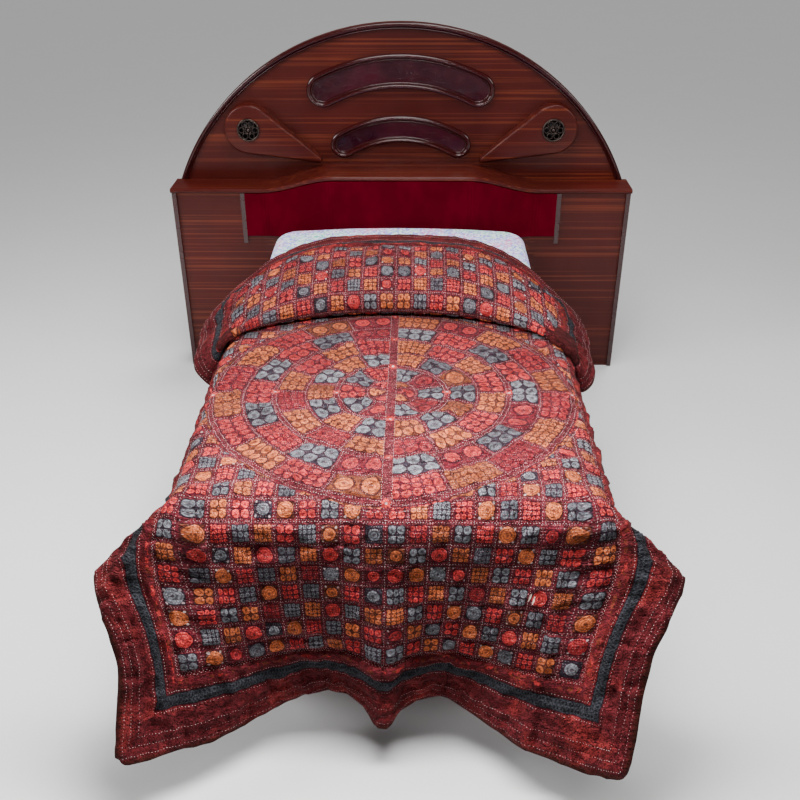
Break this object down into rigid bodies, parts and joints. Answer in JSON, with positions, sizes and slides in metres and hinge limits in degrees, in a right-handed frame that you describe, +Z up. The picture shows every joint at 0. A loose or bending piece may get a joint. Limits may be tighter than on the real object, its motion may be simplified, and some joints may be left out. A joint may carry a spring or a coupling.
{
  "type": "printed comforter on a bed",
  "caption": "Filled, hand quilted, block printed comforter draped on a plain single bed and over its pillow, falling over the foot and sides, with an arched cabinet headboard behind.",
  "frame": {"origin": "on the floor, under the middle of the bounding box", "axes": "+Z up, +Y from the foot of the bed to the headboard, +X to the right seen from the foot"},
  "size_m": [1.878, 2.4878, 1.425],
  "materials": {
    "printed_cloth": "matte block printed cotton, maroon ground",
    "sheet_cloth": "lilac white speckled cotton sheet",
    "laminate": "satin mahogany laminate, grain across",
    "gloss_inset": "high gloss dark plum",
    "dark_trim": "glossy dark lacquered moulding",
    "velvet": "crimson velvet",
    "bronze": "dark antique bronze"
  },
  "bodies": {
    "root": {"comforter": "printed_cloth", "mattress": "sheet_cloth", "pillow": "sheet_cloth", "bed_base": "laminate", "bed_leg_foot_left": "laminate", "bed_leg_foot_right": "laminate", "bed_leg_head_left": "laminate", "bed_leg_head_right": "laminate", "headboard_body": "laminate", "headboard_ledge": "laminate", "headboard_board": "laminate", "headboard_rim": "dark_trim", "headboard_velvet": "velvet", "headboard_stile_left": "dark_trim", "headboard_stile_right": "dark_trim", "headboard_edge_left": "dark_trim", "headboard_edge_right": "dark_trim", "headboard_wing_left": "laminate", "headboard_wing_right": "laminate", "headboard_rosette_left": "bronze", "headboard_rosette_right": "bronze", "inset_upper": "gloss_inset", "inset_lower": "gloss_inset", "inset_rim_upper": "dark_trim", "inset_rim_lower": "dark_trim"}
  },
  "joints": []
}
